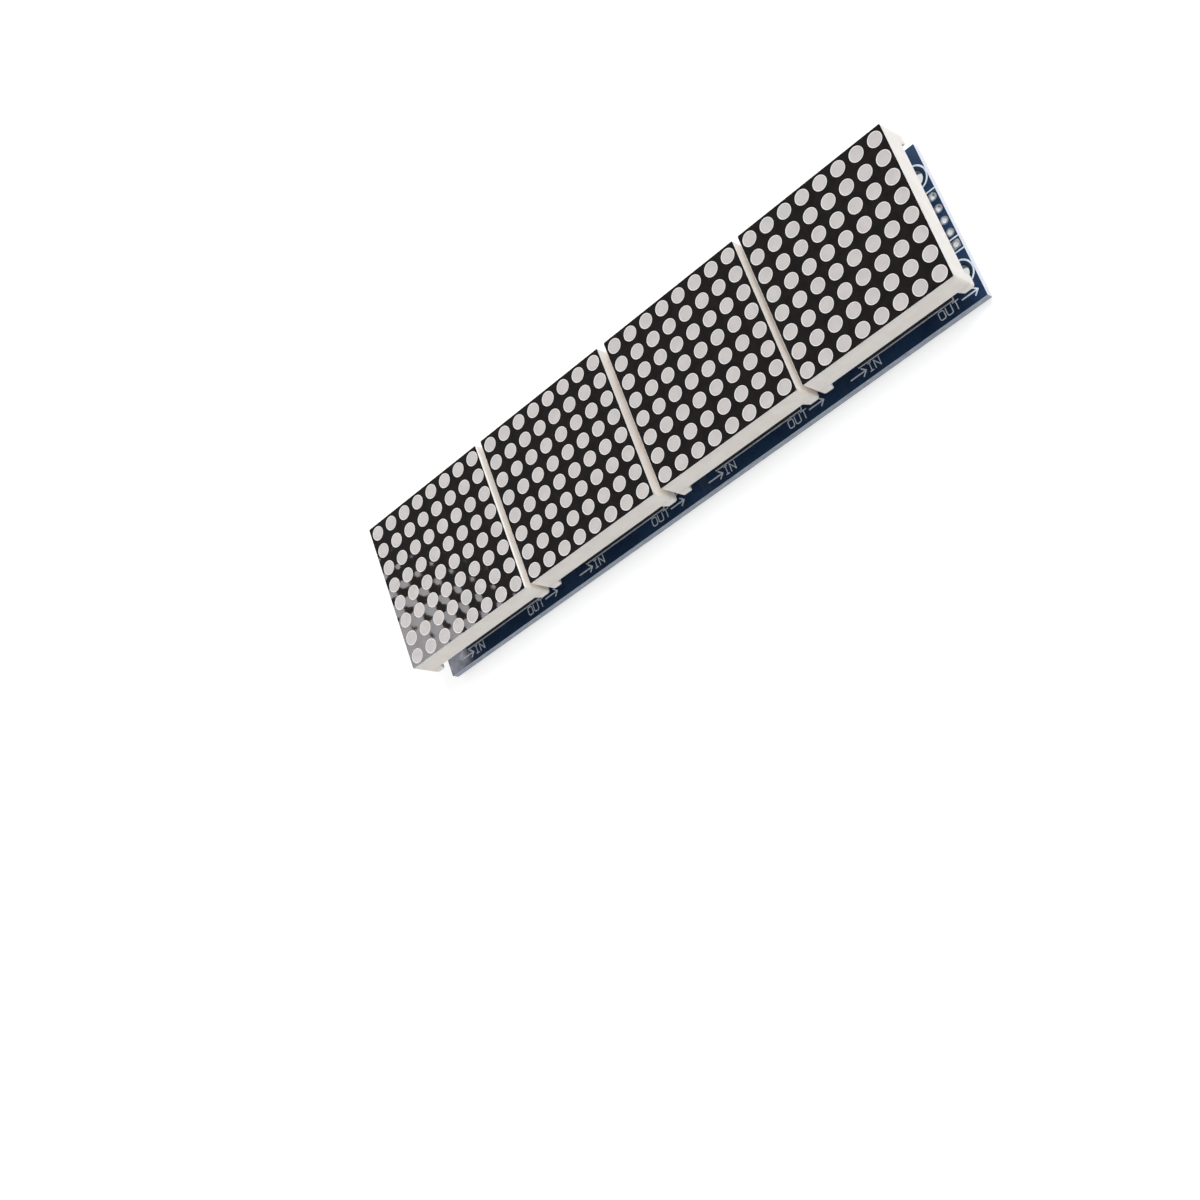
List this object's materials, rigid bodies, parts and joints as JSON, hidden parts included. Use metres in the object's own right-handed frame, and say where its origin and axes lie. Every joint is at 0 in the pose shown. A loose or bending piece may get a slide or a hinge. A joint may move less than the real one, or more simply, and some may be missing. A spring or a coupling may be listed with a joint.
{
  "type": "led dot matrix display module",
  "caption": "Row of plug-in square dot matrix displays, black faces with milky round dots, standing in sockets on a long blue driver board.",
  "frame": {"origin": "centre of the footprint, on the plane of the solder tips that the module lies on", "axes": "+X along the row of displays from the input end to the output end, +Z out of the display faces"},
  "size_m": [0.1319, 0.0322, 0.0139],
  "materials": {
    "board_lacquer": "glossy blue solder mask",
    "display_moulding": "satin white moulding",
    "face_film": "glossy black print",
    "milky_resin": "milky cast resin",
    "led_board": "bare laminate",
    "socket_moulding": "black moulding",
    "chip_moulding": "black moulding",
    "spring_metal": "plated spring metal",
    "tinned_metal": "tinned",
    "solder": "bright solder",
    "resistor_body": "glazed film",
    "capacitor_body": "matte ceramic",
    "silkscreen": "white board print"
  },
  "bodies": {
    "root": {"circuit_board": "board_lacquer", "upper_socket_1": "socket_moulding", "lower_socket_1": "socket_moulding", "socket_contacts_1": "spring_metal", "solder_joints_1": "solder", "driver_chip_1": "chip_moulding", "driver_leads_1": "tinned_metal", "current_resistor_1": "resistor_body", "bypass_capacitor_1": "capacitor_body", "reservoir_capacitor_1": "capacitor_body", "display_housing_1": "display_moulding", "led_board_1": "led_board", "resin_fill_1": "milky_resin", "face_film_1": "face_film", "display_pins_1": "tinned_metal", "upper_socket_2": "socket_moulding", "lower_socket_2": "socket_moulding", "socket_contacts_2": "spring_metal", "solder_joints_2": "solder", "driver_chip_2": "chip_moulding", "driver_leads_2": "tinned_metal", "current_resistor_2": "resistor_body", "bypass_capacitor_2": "capacitor_body", "reservoir_capacitor_2": "capacitor_body", "display_housing_2": "display_moulding", "led_board_2": "led_board", "resin_fill_2": "milky_resin", "face_film_2": "face_film", "display_pins_2": "tinned_metal", "upper_socket_3": "socket_moulding", "lower_socket_3": "socket_moulding", "socket_contacts_3": "spring_metal", "solder_joints_3": "solder", "driver_chip_3": "chip_moulding", "driver_leads_3": "tinned_metal", "current_resistor_3": "resistor_body", "bypass_capacitor_3": "capacitor_body", "reservoir_capacitor_3": "capacitor_body", "display_housing_3": "display_moulding", "led_board_3": "led_board", "resin_fill_3": "milky_resin", "face_film_3": "face_film", "display_pins_3": "tinned_metal", "upper_socket_4": "socket_moulding", "lower_socket_4": "socket_moulding", "socket_contacts_4": "spring_metal", "solder_joints_4": "solder", "driver_chip_4": "chip_moulding", "driver_leads_4": "tinned_metal", "current_resistor_4": "resistor_body", "bypass_capacitor_4": "capacitor_body", "reservoir_capacitor_4": "capacitor_body", "display_housing_4": "display_moulding", "led_board_4": "led_board", "resin_fill_4": "milky_resin", "face_film_4": "face_film", "display_pins_4": "tinned_metal"}
  },
  "joints": []
}
